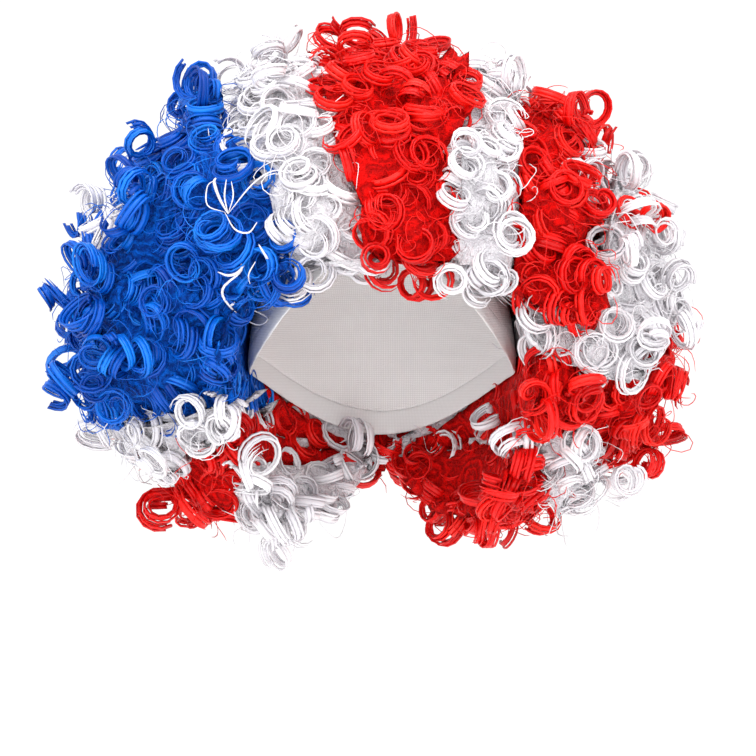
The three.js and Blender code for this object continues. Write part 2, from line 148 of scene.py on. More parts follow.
def build_backdrop():
    bm = bmesh.new()
    near = [bm.verts.new((x, BACKDROP_NEAR, FLOOR_LEVEL)) for x in (-BACKDROP_HALF, BACKDROP_HALF)]
    edge = bm.edges.new(near)
    run = bmesh.ops.extrude_edge_only(bm, edges=[edge])["geom"]
    ends = [v for v in run if isinstance(v, bmesh.types.BMVert)]
    bmesh.ops.translate(bm, vec=(0, BACKDROP_FAR - BACKDROP_NEAR, 0), verts=ends)
    last = [e for e in run if isinstance(e, bmesh.types.BMEdge)]
    centre = (0, BACKDROP_FAR, FLOOR_LEVEL + BACKDROP_BEND)
    quarter = math.radians(90)
    bend = bmesh.ops.spin(
        bm, geom=ends + last, cent=centre, axis=(1, 0, 0), angle=quarter, steps=BACKDROP_STEPS
    )["geom_last"]
    upper = [e for e in bend if isinstance(e, bmesh.types.BMEdge)]
    rise = bmesh.ops.extrude_edge_only(bm, edges=upper)["geom"]
    top = [v for v in rise if isinstance(v, bmesh.types.BMVert)]
    bmesh.ops.translate(bm, vec=(0, 0, BACKDROP_RISE), verts=top)
    bmesh.ops.recalc_face_normals(bm, faces=bm.faces)
    mesh = bpy.data.meshes.new("backdrop")
    bm.to_mesh(mesh)
    bm.free()
    for face in mesh.polygons:
        face.use_smooth = True
    sheet = bpy.data.objects.new("backdrop", mesh)
    bpy.context.scene.collection.objects.link(sheet)
    paper = bpy.data.materials.new("backdrop_paper")
    paper.use_nodes = True
    shader = paper.node_tree.nodes["Principled BSDF"]
    shader.inputs["Base Color"].default_value = (0.93, 0.93, 0.93, 1)
    shader.inputs["Emission Color"].default_value = (1, 1, 1, 1)
    shader.inputs["Emission Strength"].default_value = BACKDROP_GLOW
    shader.inputs["Roughness"].default_value = 0.9
    mesh.materials.append(paper)
    sheet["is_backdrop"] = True


build_backdrop()
print("floor level in m:", FLOOR_LEVEL)

# %% [markdown]
# ## Hair fibre
#
# The fibre is a glossy plastic thread. Many lie side by side in one curl, so a
# curl shows fine lines along its length and differs a little in tint from the
# next, and painted shade darkens it towards its root. Every curl uses one of the
# narrow strips of the UV map: U runs across the strand and V along it. The
# pattern is worked out from that map alone, so it follows each curl round, and
# one small picture could hold the finish of them all.

# %% Shared fibre pattern
LOCK_COLUMNS = 32  # strips of the UV map
LINE_LENGTH = 2.2  # how often the lines change along a curl
BUNDLE_WIDTH = 0.22  # lines to a bundle, as a share
LINE_WEIGHT = 1.35
MIDDLE_TONE = 0.45  # where the shade has given way to the middle colour


def new_group(name, inputs, outputs):
    """A node group with named sockets; inputs and outputs are (name, type, default)."""
    group = bpy.data.node_groups.new(name, "ShaderNodeTree")
    for side, rows in (("INPUT", inputs), ("OUTPUT", outputs)):
        for label, kind, default in rows:
            socket = group.interface.new_socket(label, in_out=side, socket_type=kind)
            if default is not None:
                socket.default_value = default
    return group, group.nodes.new("NodeGroupInput"), group.nodes.new("NodeGroupOutput")


def add_node(tree, kind, values=(), **settings):
    node = tree.nodes.new(kind)
    for name, value in settings.items():
        setattr(node, name, value)
    for key, value in values:
        node.inputs[key].default_value = value
    return node


def fibre_group():
    """Fine lines along a curl and a tint that differs from curl to curl, in painted shade and highlight.
    """
    group, start, end = new_group(
        "curled_fibre",
        [
            ("Shade", "NodeSocketColor", (0.5, 0.5, 0.5, 1)),
            ("Mid", "NodeSocketColor", (0.5, 0.5, 0.5, 1)),
            ("Light", "NodeSocketColor", (0.9, 0.9, 0.9, 1)),
            ("Lines", "NodeSocketFloat", 8.0),
        ],
        [
            ("Color", "NodeSocketColor", None),
            ("Height", "NodeSocketFloat", None),
            ("Roughness", "NodeSocketFloat", None),
        ],
    )
    link = group.links.new
    uv = add_node(group, "ShaderNodeUVMap", uv_map="OFBake")
    split = add_node(group, "ShaderNodeSeparateXYZ")
    link(uv.outputs["UV"], split.inputs["Vector"])

    columns = add_node(group, "ShaderNodeMath", [(1, LOCK_COLUMNS)], operation="MULTIPLY")
    link(split.outputs["X"], columns.inputs[0])
    number = add_node(group, "ShaderNodeMath", operation="FLOOR")
    link(columns.outputs[0], number.inputs[0])
    tint = add_node(group, "ShaderNodeTexWhiteNoise", noise_dimensions="1D")
    link(number.outputs[0], tint.inputs["W"])

    across = add_node(group, "ShaderNodeMath", operation="MULTIPLY")
    link(columns.outputs[0], across.inputs[0])
    link(start.outputs["Lines"], across.inputs[1])
    along = add_node(group, "ShaderNodeMath", [(1, LINE_LENGTH)], operation="MULTIPLY")
    link(split.outputs["Y"], along.inputs[0])
    where = add_node(group, "ShaderNodeCombineXYZ")
    link(across.outputs[0], where.inputs["X"])
    link(along.outputs[0], where.inputs["Y"])
    lines = add_node(
        group, "ShaderNodeTexNoise", [("Scale", 1.0), ("Detail", 3.0), ("Roughness", 0.65)]
    )
    link(where.outputs[0], lines.inputs["Vector"])

    wide = add_node(group, "ShaderNodeMath", [(1, BUNDLE_WIDTH)], operation="MULTIPLY")
    link(across.outputs[0], wide.inputs[0])
    place = add_node(group, "ShaderNodeCombineXYZ")
    link(wide.outputs[0], place.inputs["X"])
    link(along.outputs[0], place.inputs["Y"])
    bundles = add_node(group, "ShaderNodeTexNoise", [("Scale", 1.0), ("Detail", 1.0)])
    link(place.outputs[0], bundles.inputs["Vector"])

    fine = add_node(group, "ShaderNodeMath", [(1, LINE_WEIGHT)], operation="MULTIPLY")
    link(lines.outputs["Fac"], fine.inputs[0])
    both = add_node(group, "ShaderNodeMath", operation="ADD")
    link(fine.outputs[0], both.inputs[0])
    link(bundles.outputs["Fac"], both.inputs[1])
    spread = add_node(
        group,
        "ShaderNodeMapRange",
        [("From Min", 0.75), ("From Max", 1.6), ("To Min", 0.0), ("To Max", 0.85)],
    )
    link(both.outputs[0], spread.inputs["Value"])
    vary = add_node(
        group, "ShaderNodeMapRange", [("To Min", -0.16), ("To Max", 0.16)]
    )
    link(tint.outputs["Value"], vary.inputs["Value"])
    tinted = add_node(group, "ShaderNodeMath", operation="ADD")
    link(spread.outputs[0], tinted.inputs[0])
    link(vary.outputs[0], tinted.inputs[1])
    # painted shade: the colour darkens towards the root of each strand
    root = add_node(
        group, "ShaderNodeMapRange", [("From Max", 0.35), ("To Min", -0.3), ("To Max", 0.0)]
    )
    link(split.outputs["Y"], root.inputs["Value"])
    total = add_node(group, "ShaderNodeMath", operation="ADD", use_clamp=True)
    link(tinted.outputs[0], total.inputs[0])
    link(root.outputs[0], total.inputs[1])

    # the lines and the tint lay out painted shade, the middle colour and painted highlight
    low = add_node(group, "ShaderNodeMapRange", [("From Max", MIDDLE_TONE)])
    link(total.outputs[0], low.inputs["Value"])
    high = add_node(group, "ShaderNodeMapRange", [("From Min", MIDDLE_TONE), ("From Max", 1.0)])
    link(total.outputs[0], high.inputs["Value"])
    first = add_node(group, "ShaderNodeMix", data_type="RGBA")
    link(low.outputs[0], first.inputs["Factor"])
    link(start.outputs["Shade"], first.inputs["A"])
    link(start.outputs["Mid"], first.inputs["B"])
    second = add_node(group, "ShaderNodeMix", data_type="RGBA")
    link(high.outputs[0], second.inputs["Factor"])
    link(first.outputs["Result"], second.inputs["A"])
    link(start.outputs["Light"], second.inputs["B"])
    link(second.outputs["Result"], end.inputs["Color"])
    link(lines.outputs["Fac"], end.inputs["Height"])
    gloss = add_node(
        group, "ShaderNodeMapRange", [("To Min", 0.28), ("To Max", 0.5)]
    )
    link(lines.outputs["Fac"], gloss.inputs["Value"])
    link(gloss.outputs[0], end.inputs["Roughness"])
    return group


fibre_pattern = fibre_group()
print("nodes in the fibre pattern:", len(fibre_pattern.nodes))

# %% [markdown]
# Each colour of fibre has three tones: painted shade between the fibres, a middle
# colour, and a painted highlight on their tops. One pattern serves all the
# colours, so a change to it shows everywhere, and only the tones are given here.

# %% Fibre materials
FIBRE_COLOURS = {
    # slot: painted shade, middle colour and painted highlight
    "red_fibre": ((0.5, 0.0, 0.0), (0.82, 0.002, 0.001), (0.95, 0.03, 0.016)),
    "white_fibre": ((0.7, 0.67, 0.71), (0.83, 0.81, 0.84), (0.9, 0.885, 0.9)),
    "blue_fibre": ((0.0, 0.04, 0.3), (0.0, 0.11, 0.6), (0.005, 0.27, 0.86)),
}


def fibre_material(slot, colours):
    material = bpy.data.materials.new(slot)
    material.use_nodes = True
    tree = material.node_tree
    shader = tree.nodes["Principled BSDF"]
    pattern = add_node(tree, "ShaderNodeGroup", node_tree=fibre_pattern)
    for label, colour in zip(("Shade", "Mid", "Light"), colours):
        pattern.inputs[label].default_value = (*colour, 1)
    bump = add_node(tree, "ShaderNodeBump", [("Strength", 0.5), ("Distance", 0.0004)])
    tree.links.new(pattern.outputs["Color"], shader.inputs["Base Color"])
    tree.links.new(pattern.outputs["Roughness"], shader.inputs["Roughness"])
    tree.links.new(pattern.outputs["Height"], bump.inputs["Height"])
    tree.links.new(bump.outputs["Normal"], shader.inputs["Normal"])
    shader.inputs["Specular IOR Level"].default_value = 0.28
    return material


curl_material = {slot: fibre_material(slot, colours) for slot, colours in FIBRE_COLOURS.items()}
print("fibre materials:", len(curl_material))

# %% [markdown]
# ## Where the curls grow
#
# The curls need the surface of the solids: to grow from it, and to see what is
# in their way. All solids go into one search tree, which answers quickly where a
# line of sight ends. Outwards is the direction away from the wig's middle,
# as on an egg of the wig's size, and it is smoother than the solids' own faces.

# %% Surface of the solids
WIG_MIDDLE = np.array((0.0, 0.015, -0.1))
WIG_REACH = np.array((0.19, 0.16, 0.15))


def triangles_of(node):
    mesh = frame["nodes"][node].data
    mesh.calc_loop_triangles()
    places = np.empty(len(mesh.vertices) * 3, np.float32)
    mesh.vertices.foreach_get("co", places)
    corners = np.empty(len(mesh.loop_triangles) * 3, np.int32)
    mesh.loop_triangles.foreach_get("vertices", corners)
    return places.reshape(-1, 3).astype(float), corners.reshape(-1, 3)


def search_tree(nodes):
    places, corners, offset = [], [], 0
    for node in nodes:
        points, faces = triangles_of(node)
        places += [tuple(p) for p in points]
        corners += [tuple(int(i) + offset for i in row) for row in faces]
        offset += len(points)
    return BVHTree.FromPolygons(places, corners)


def unit(vectors):
    return vectors / np.maximum(np.linalg.norm(vectors, axis=-1, keepdims=True), 1e-9)


def outward(points):
    """Direction away from the wig's middle at each point."""
    return unit((points - WIG_MIDDLE) / WIG_REACH**2)


part_tree = search_tree(frame["nodes"])
print("solids in the search tree:", len(frame["nodes"]))

# %% [markdown]
# Real curls are sewn in rows, but at the surface they crowd together at even
# distances, each taking the room that it finds. So points are strewn over every
# mass of hair, those that look straight at another solid are dropped, and of the
# rest a point is kept only if no kept point is near it. A grid of cells keeps
# that quick, because a point is compared only with those in the cells around.

# %% Strew points over the hair
CURL_SPACING = 12.9 * MM
CLEAR_SIGHT = 7 * MM
TRIES = 8  # points strewn for each that there is room for
OFF_SURFACE = 1e-5


def strewn(node, spacing):
    """Points strewn on the open surface of a node, and the surface's normals there."""
    places, corners = triangles_of(node)
    a, b, c = (places[corners[:, i]] for i in range(3))
    cross = np.cross(b - a, c - a)
    area = np.linalg.norm(cross, axis=1) / 2
    count = int(TRIES * area.sum() / spacing**2)
    chosen = rng.choice(len(corners), count, p=area / area.sum())
    u, v = rng.random((2, count, 1))
    u, v = np.where(u + v > 1, 1 - u, u), np.where(u + v > 1, 1 - v, v)
    points = a[chosen] + u * (b - a)[chosen] + v * (c - a)[chosen]
    normals = unit(cross[chosen])
    clear = [
        part_tree.ray_cast(Vector(p + n * OFF_SURFACE), Vector(n), CLEAR_SIGHT)[0] is None
        for p, n in zip(points, normals)
    ]
    return points[clear], normals[clear]


def spaced(points, spacing):
    """Indexes of points of which no two are nearer than spacing."""
    cells, kept = {}, []
    for i, p in enumerate(points):
        cell = tuple(np.floor(p / spacing).astype(int))
        near = (
            j
            for dx in (-1, 0, 1)
            for dy in (-1, 0, 1)
            for dz in (-1, 0, 1)
            for j in cells.get((cell[0] + dx, cell[1] + dy, cell[2] + dz), ())
        )
        if any(np.sum((points[j] - p) ** 2) < spacing**2 for j in near):
            continue
        cells.setdefault(cell, []).append(i)
        kept.append(i)
    return np.array(kept)


def curl_places(spacing):
    """Points, normals and node numbers of the whole wig, evenly spaced."""
    found = [strewn(node, spacing) for node in hair_nodes]
    points = np.concatenate([p for p, n in found])
    normals = np.concatenate([n for p, n in found])
    owner = np.repeat(np.arange(len(found)), [len(p) for p, n in found])
    order = rng.permutation(len(points))
    kept = order[spaced(points[order], spacing)]
    return points[kept], normals[kept], owner[kept]


places, normals, owners = curl_places(CURL_SPACING)
print("curls:", len(places), "on", len(hair_nodes), "masses")

# %% [markdown]
# ## The ringlets
#
# A curl is a flat bundle of fibres wound on a rod and set with heat. It is a
# spring-shaped ribbon, and where it points at the viewer it looks like a rose
# of rings. A curve with a bevel could make one, but a thousand curve objects
# are slow, so all curls of a colour are worked out together as arrays of
# points along a helix, with a small cross-section carried along them. Four such
# strands side by side, each a little astray, make a curl.

# %% Tubes along many paths at once
COLUMN_EDGE = 0.04  # share of a strip of the UV map left free on each side


def tubes(paths, radial, axial, section, taper, column, hand):
    """Closed tubes along paths (curl, step, 3). section is a list of (out, along)
    corners in metres, taper a factor for each step, column the strip of the UV map."""
    count, steps = paths.shape[:2]
    sides = len(section)
    corner = np.array(section)
    width = corner[:, 0][None, None, :, None] * radial[:, :, None, :]
    turned = axial * hand[:, None, None]
    height = corner[:, 1][None, None, :, None] * turned[:, :, None, :]
    verts = paths[:, :, None, :] + taper[None, :, None, None] * (width + height)
    base = (np.arange(count) * steps * sides)[:, None, None]
    step = (np.arange(steps - 1) * sides)[None, :, None]
    side = np.arange(sides)[None, None, :]
    after = (side + 1) % sides
    near = base + step
    far = near + sides
    quads = np.stack([near + side, near + after, far + after, far + side], axis=-1)
    lengths = np.linalg.norm(np.roll(corner, -1, axis=0) - corner, axis=1)
    edges = np.concatenate([[0], np.cumsum(lengths) / lengths.sum()])
    inset = COLUMN_EDGE + (1 - 2 * COLUMN_EDGE) * edges
    left = (column[:, None, None] + inset[:-1][None, None, :]) / LOCK_COLUMNS
    right = (column[:, None, None] + inset[1:][None, None, :]) / LOCK_COLUMNS
    low = (np.arange(steps - 1) / (steps - 1))[None, :, None]
    high = low + 1 / (steps - 1)
    shape = quads.shape[:3]
    uv = np.empty(shape + (4, 2))
    for k, (u, v) in enumerate(((left, low), (right, low), (right, high), (left, high))):
        uv[..., k, 0] = np.broadcast_to(u, shape)
        uv[..., k, 1] = np.broadcast_to(v, shape)
    around = np.arange(sides)[None]
    last = (steps - 1) * sides
    ends = np.concatenate([base[:, 0] + around[:, ::-1], base[:, 0] + last + around])
    middle = (np.tile(column, 2)[:, None] + 0.5) / LOCK_COLUMNS
    reach = np.repeat([0.0, 1.0], count)[:, None]
    end_uv = np.stack([np.broadcast_to(middle, ends.shape), np.broadcast_to(reach, ends.shape)], axis=-1)
    return verts.reshape(-1, 3), quads.reshape(-1, 4), uv.reshape(-1, 2), ends, end_uv.reshape(-1, 2)


def joined_mesh(name, parts, material):
    """One mesh object from several results of tubes()."""
    verts = np.concatenate([p[0] for p in parts])
    loops, totals, uvs, offset = [], [], [], 0
    for v, quads, uv, ends, end_uv in parts:
        for faces, face_uv in ((quads, uv), (ends, end_uv)):
            loops.append((faces + offset).ravel())
            totals.append(np.full(len(faces), faces.shape[1]))
            uvs.append(face_uv)
        offset += len(v)
    loops, totals, uvs = map(np.concatenate, (loops, totals, uvs))
    mesh = bpy.data.meshes.new(name)
    mesh.vertices.add(len(verts))
    mesh.vertices.foreach_set("co", verts.ravel().astype(np.float32))
    mesh.loops.add(len(loops))
    mesh.loops.foreach_set("vertex_index", loops.astype(np.int32))
    mesh.polygons.add(len(totals))
    mesh.polygons.foreach_set("loop_start", (np.cumsum(totals) - totals).astype(np.int32))
    layer = mesh.uv_layers.new(name="OFBake")
    layer.uv.foreach_set("vector", uvs.ravel().astype(np.float32))
    mesh.polygons.foreach_set("use_smooth", np.ones(len(totals), bool))
    mesh.update(calc_edges=True)
    mesh.materials.append(material)
    piece = bpy.data.objects.new(name, mesh)
    bpy.context.scene.collection.objects.link(piece)
    return piece


def smooth_step(x, low, high):
    t = np.clip((x - low) / (high - low), 0, 1)
    return t * t * (3 - 2 * t)


# %% [markdown]
# Most curls stand on end and show their rings like a rose. Some lean over and
# show their side, and some are open loops. Radius, turns, height and tilt are
# drawn by chance between limits that suit each style. On the inner side the
# curls stay upright, and at the front edge they hang down as a hem. The strands
# of one curl follow the same helix with small shifts, so that they stay one lock.

# %% Helix of each curl
STEPS = 21
STYLES = {
    # style: share, then ranges of radius in mm, turns, height in mm, tilt in degrees
    "rose": (0.6, (8.5, 12.0), (1.5, 1.9), (9, 16), (0, 32)),
    "coil": (0.14, (7.5, 10.0), (1.6, 2.0), (12, 20), (40, 70)),
    "loop": (0.26, (9.0, 12.5), (1.2, 1.6), (5, 11), (20, 75)),
}
RISE = (-10.5, -3.0)  # of a curl's end over the solid, in mm
SIDE_STEP = 3.5 * MM  # how far curls stray sideways
STRAY = 0.3 * MM  # how far strands stray within a curl
INNER_FACING = -0.1  # a surface turned inwards by more than this is the inner side
INNER_RISE = 2.5  # in mm
INNER_TILT = (0, 35)  # in degrees
HEM_FRONT = -88 * MM  # curls of the inner side further forward than this hang as a hem
HEM_DROP = (4.0, 14.0)  # how far they hang down, in mm
HEM_SPREAD = (0.4, 0, 0.1)
HEM_FORWARD = (0, -1.0, -0.15)
FACE_PULL = 0.45  # how much a curl follows the face that it grows from
EGG_PULL = 0.9  # how much it follows the outward direction
CLOSE = (0.35, 0.65)  # how far a rose narrows, as a share of its radius
CLOSE_OTHER = (0.0, 0.3)
CLOSING = 0.4  # share of curls that narrow to the tip, not to the root


def between(limits, count):
    return limits[0] + (limits[1] - limits[0]) * rng.random(count)


def curl_shapes(points, normals):
    """Random sizes, axes and starting places for the curls at these points."""
    count = len(points)
    style = rng.choice(len(STYLES), count, p=[row[0] for row in STYLES.values()])
    size = {}
    for column, label in enumerate(("radius", "turns", "height", "tilt"), start=1):
        table = np.stack([between(row[column], count) for row in STYLES.values()])
        size[label] = table[style, np.arange(count)]
    inner = np.sum(normals * outward(points), axis=1) < INNER_FACING
    hem = inner & (points[:, 1] < HEM_FRONT)
    inner &= ~hem
    points = points.copy()
    points[hem, 2] -= between(HEM_DROP, hem.sum()) * MM
    away = unit(FACE_PULL * normals + EGG_PULL * outward(points))
    away[inner] = normals[inner]
    away[hem] = unit(outward(points[hem]) * HEM_SPREAD + HEM_FORWARD)
    drift = rng.normal(0, SIDE_STEP, points.shape) * ~inner[:, None]
    points += drift - np.sum(drift * away, axis=1)[:, None] * away
    aside = unit(np.cross(away, unit(rng.normal(size=(count, 3)))))
    tilt = np.radians(np.where(inner, between(INNER_TILT, count), size["tilt"]))
    out = np.where(inner, INNER_RISE, between(RISE, count))
    axis = np.cos(tilt)[:, None] * away + np.sin(tilt)[:, None] * aside
    radius = size["radius"] * MM
    height = size["height"] * MM
    top = points + away * (out * MM - radius * np.sin(tilt))[:, None]
    back = away * (height * np.cos(tilt))[:, None]
    start = top - back - aside * (height * np.sin(tilt) / 2)[:, None]
    rose = style == 0
    return {
        "style": style,
        "radius": radius,
        "height": height,
        "turns": size["turns"],
        "axis": unit(axis),
        "start": start,
        "hand": rng.choice([-1.0, 1.0], count),
        "phase": 2 * math.pi * rng.random(count),
        "close": between(CLOSE, count) * rose + between(CLOSE_OTHER, count) * ~rose,
        "closing": rng.random(count) < CLOSING,
    }


SHORTEST = 0.86  # least length of a strand, as a share of its curl's
PHASE_STRAY = 0.12
SAG = 3 * MM
TIP_REACH = (0.45, 1.0)  # stretch of a curl in which it narrows to the tip
ROOT_REACH = (0.0, 0.7)  # and to the root
SHIFT_KEPT = 0.4  # share of a strand's shift that stays where the curl is narrow
BULGE = 1.5  # above 1, a rose rises quickly and ends flat


def helix(shape, out=0.0, along=0.0, wander=0.0, steps=STEPS):
    """Paths and their radial directions; out and along shift a strand in the curl."""
    count = len(shape["radius"])
    s = np.linspace(0, 1, steps)[None] * between((SHORTEST, 1.0), count)[:, None]
    if "pick" not in shape:
        shape["pick"] = unit(np.cross(shape["axis"], unit(rng.normal(size=(count, 3)))))
    pick = shape["pick"]
    side = np.cross(shape["axis"], pick)
    phase = shape["phase"] + rng.normal(0, PHASE_STRAY, count)
    turn = phase[:, None] + shape["hand"][:, None] * 2 * math.pi * shape["turns"][:, None] * s
    to_tip = smooth_step(s, *TIP_REACH)
    to_root = 1 - smooth_step(s, *ROOT_REACH)
    narrow = np.where(shape["closing"][:, None], to_tip, to_root)
    shrink = 1 - shape["close"][:, None] * narrow
    wave = sum(
        np.sin(2 * math.pi * (k * s + rng.random((count, 1)))) * rng.normal(size=(count, 1)) / k
        for k in (1, 2, 3)
    )
    outer = out + rng.normal(0, STRAY, (count, 1))
    radius = shape["radius"][:, None] * shrink + outer * (SHIFT_KEPT + (1 - SHIFT_KEPT) * shrink)
    radius = radius + wander * wave
    radial = np.cos(turn)[..., None] * pick[:, None] + np.sin(turn)[..., None] * side[:, None]
    flat = np.where(shape["style"][:, None] == 0, 1 - (1 - s) ** BULGE, s)
    rise = shape["height"][:, None] * flat + along + rng.normal(0, STRAY, (count, 1))
    climb = rise[..., None] * shape["axis"][:, None]
    paths = shape["start"][:, None] + climb + radius[..., None] * radial
    paths[..., 2] -= SAG * s**2
    axial = np.broadcast_to(shape["axis"][:, None], paths.shape)
    return paths, radial, axial


# %% [markdown]
# The curls of one strip are joined into one piece, which takes the place of its
# mass. At the outline a few curls lie among those of the next colour, as they do
# on a real wig, so the points there are given to that other strip first.

# %% Dress every mass of hair with its curls
# cross-sections as corners in mm: (outwards, along the curl's axis)
BAND = [(0.65, -1.4), (0.55, 1.5), (-0.55, 1.3), (-0.55, -1.3)]
STRAND = [(0.7, -0.85), (0.7, 0.85), (-0.7, 0.0)]
STRANDS = [
    # section, then shift outwards, shift along the axis and wander in mm
    (BAND, 0.0, 0.0, 0.3),
    (STRAND, -0.8, 2.1, 0.35),
    (STRAND, 0.4, -2.2, 0.35),
    (STRAND, -2.0, 0.2, 0.5),
]
TIP_RATE = 4.5  # how soon a strand thins towards its tip
TIP_PAST = 1.03  # it would end in a point there, a little past its length
TIP_LEAST = 0.12
TIP = np.clip((TIP_PAST - np.linspace(0, 1, STEPS)) * TIP_RATE, TIP_LEAST, 1)
STRAYS = [
    # place from the front and reach in mm, and the mass whose colour strays there
    (131, 17, 15, "hair_white_right"),
    (148, -12, 9, "hair_red_right"),
    (-165, -12, 12, "hair_white_back"),
    (-21, 80, 10, "hair_red_top"),
]
STRAY_REAR = 60  # strays lie in front of this, in mm behind the frame's origin


def picked(shape, mask):
    return {key: value[mask] for key, value in shape.items()}


for x, z, reach, node in STRAYS:
    seen = np.hypot(places[:, 0] - x * MM, places[:, 2] - z * MM) < reach * MM
    owners[seen & (places[:, 1] < STRAY_REAR * MM)] = hair_nodes.index(node)
shapes = curl_shapes(places, normals)
columns = rng.integers(0, LOCK_COLUMNS, len(places)).astype(float)
triangles = 0
for number, node in enumerate(hair_nodes):
    mine = owners == number
    shape = picked(shapes, mine)
    parts = []
    for section, out, along, wander in STRANDS:
        paths, radial, axial = helix(shape, out * MM, along * MM, wander * MM)
        corners = [(a * MM, b * MM) for a, b in section]
        parts.append(tubes(paths, radial, axial, corners, TIP, columns[mine], shape["hand"]))
    curls = joined_mesh(node.replace("hair", "curls"), parts, curl_material[slots[node]])
    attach(curls, "root")
    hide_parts(node)
    triangles += sum(2 * len(p[1]) + len(p[3]) * (p[3].shape[1] - 2) for p in parts)
print("triangles in curls:", triangles)

# %% [markdown]
# ## Loose fibres
#
# Handling pulls single fibres out of the curls. They fill the hollows between
# the ringlets with fine loops and stand round the outline as a thin halo. Each
# is one thin tube with few steps, because there are so many of them.

# %% Fill the gaps and the outline with loose fibres
WISP_STEPS = 12
WISP_SPACING = 10.5 * MM
WISP_ROOT = 6  # how deep they start, in mm
WISP_RADIUS = (4.0, 11.0)
WISP_TURNS = (0.5, 1.2)
WISP_HEIGHT = (8.0, 26.0)
WISP_CLOSE = (-0.3, 0.5)
WISP_SUNK = 0.75  # share of their height below the surface
WISP_WANDER = 0.8
WISP_FACING = 0.1  # only where the surface faces outwards by more than this
WISP_SIZE = [(0.26, -0.22), (0.26, 0.22), (-0.26, 0.0)]
WISP_TIP = 0.4


def wisp_shapes(points, normals):
    shape = curl_shapes(points, normals)
    count = len(points)
    shape["radius"] = between(WISP_RADIUS, count) * MM
    shape["turns"] = between(WISP_TURNS, count)
    shape["height"] = between(WISP_HEIGHT, count) * MM
    shape["close"] = between(WISP_CLOSE, count)
    depth = WISP_ROOT * MM + WISP_SUNK * shape["height"]
    shape["start"] = points - unit(shape["axis"]) * depth[:, None]
    return shape


wisp_points, wisp_normals, wisp_owners = curl_places(WISP_SPACING)
outside = np.sum(wisp_normals * outward(wisp_points), axis=1) > WISP_FACING
wisp_points = wisp_points[outside]
wisp_normals = wisp_normals[outside]
wisp_owners = wisp_owners[outside]
wisp_columns = rng.integers(0, LOCK_COLUMNS, len(wisp_points)).astype(float)
wisps = wisp_shapes(wisp_points, wisp_normals)
thin = np.full(WISP_STEPS, 1.0)
thin[-1] = WISP_TIP
for number, node in enumerate(hair_nodes):
    mine = wisp_owners == number
    shape = picked(wisps, mine)
    paths, radial, axial = helix(shape, wander=WISP_WANDER * MM, steps=WISP_STEPS)
    corners = [(a * MM, b * MM) for a, b in WISP_SIZE]
    part = tubes(paths, radial, axial, corners, thin, wisp_columns[mine], shape["hand"])
    loose = joined_mesh(node.replace("hair", "loose"), [part], curl_material[slots[node]])
    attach(loose, "root")
    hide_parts(node)
print("loose fibres:", len(wisp_points))

# %% [markdown]
# ## White wisps on the blue
#
# A few strands of the white lock beside it have come to lie over the blue: a
# small fan and some open loops. They are drawn as smooth curves through a few
# points, given as they are seen from the camera's place. Looking from there
# through each point finds the hair, and the curve is laid a little in front.

# %% White wisps
WISP_LIFT = 7 * MM
CURVE_STEPS = 16
SMOOTHING = 7  # steps over which the depth of a curve is evened out
SWELL_START = 0.15
SWELL_END = 0.3
SWELL_POWER = 0.7
UNDERSIDE = 0.4  # depth of a wisp's back as a share of its half width
TOPSIDE = 0.5
WHITE_WISPS = [
    # half width in mm, and points (across, up) in mm as seen from the front
    (0.9, [(-90, -18), (-95, -9), (-98, 0), (-97, 3)]),
    (0.5, [(-90, -18), (-92, -8), (-91, 2)]),
    (0.4, [(-90, -18), (-87, -8), (-88, 1)]),
    (0.5, [(-90, -18), (-76, -1), (-64, 7), (-55, 6)]),
    (0.5, [(-92, -17), (-86, -27), (-78, -29), (-73, -23)]),
    (0.4, [(-92, -17), (-102, -13), (-102, -2), (-97, 2)]),
    (1.2, [(-72, -36), (-66, -47), (-66, -57), (-72, -62), (-83, -68), (-89, -72)]),
    (0.7, [(-84, -44), (-82, -51), (-92, -60), (-93, -66), (-89, -72), (-85, -76)]),
    (0.8, [(-96, -52), (-90, -54), (-84, -52), (-79, -45)]),
    (0.5, [(-85, -76), (-77, -74), (-67, -79), (-72, -83), (-82, -79)]),
    (0.4, [(-76, -62), (-78, -54), (-74, -46)]),
]


def laid_on_hair(points):
    """A smooth path through points seen from the front, a little off the hair."""
    knots = np.array(points, float) * MM
    t = np.linspace(0, len(knots) - 1, CURVE_STEPS)
    ahead = np.concatenate([2 * knots[:1] - knots[1:2], knots, 2 * knots[-1:] - knots[-2:-1]])
    i = np.minimum(t.astype(int), len(knots) - 2)
    f = (t - i)[:, None]
    a, b, c, d = (ahead[i + k] for k in range(4))
    square = (2 * a - 5 * b + 4 * c - d) * f**2
    cube = (3 * b - a - 3 * c + d) * f**3
    flat = 0.5 * (2 * b + (c - a) * f + square + cube)
    eye = np.array((AIM.x, -CAMERA_DISTANCE, AIM.z))
    level = np.stack([flat[:, 0], np.zeros(CURVE_STEPS), flat[:, 1]], axis=1)
    depth = []
    for point in level:
        hit = part_tree.ray_cast(Vector(eye), Vector(unit(point - eye)))[0]
        depth.append(hit.y - WISP_LIFT if hit else depth[-1])
    padded = np.pad(depth, SMOOTHING // 2, mode="edge")
    depth = np.convolve(padded, np.ones(SMOOTHING) / SMOOTHING, mode="valid")
    near = (depth + CAMERA_DISTANCE) / CAMERA_DISTANCE
    return eye + (level - eye) * near[:, None]


def white_wisps():
    parts = []
    swell = np.sin(np.linspace(SWELL_START, math.pi - SWELL_END, CURVE_STEPS)) ** SWELL_POWER
    for width, points in WHITE_WISPS:
        path = laid_on_hair(points)[None]
        forward = unit(np.gradient(path, axis=1))
        side = unit(np.cross(forward, np.array((0.0, -1.0, 0.0))))
        front = unit(np.cross(side, forward))
        wide = width * MM
        section = [(wide, 0.0), (0.0, TOPSIDE * wide), (-wide, 0.0), (0.0, -UNDERSIDE * wide)]
        column = rng.integers(0, LOCK_COLUMNS, 1).astype(float)
        parts.append(tubes(path, side, front, section, swell, column, np.ones(1)))
    wisp = joined_mesh("wisps_white_front", parts, curl_material["white_fibre"])
    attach(wisp, "root")
    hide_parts("hair_white_front")


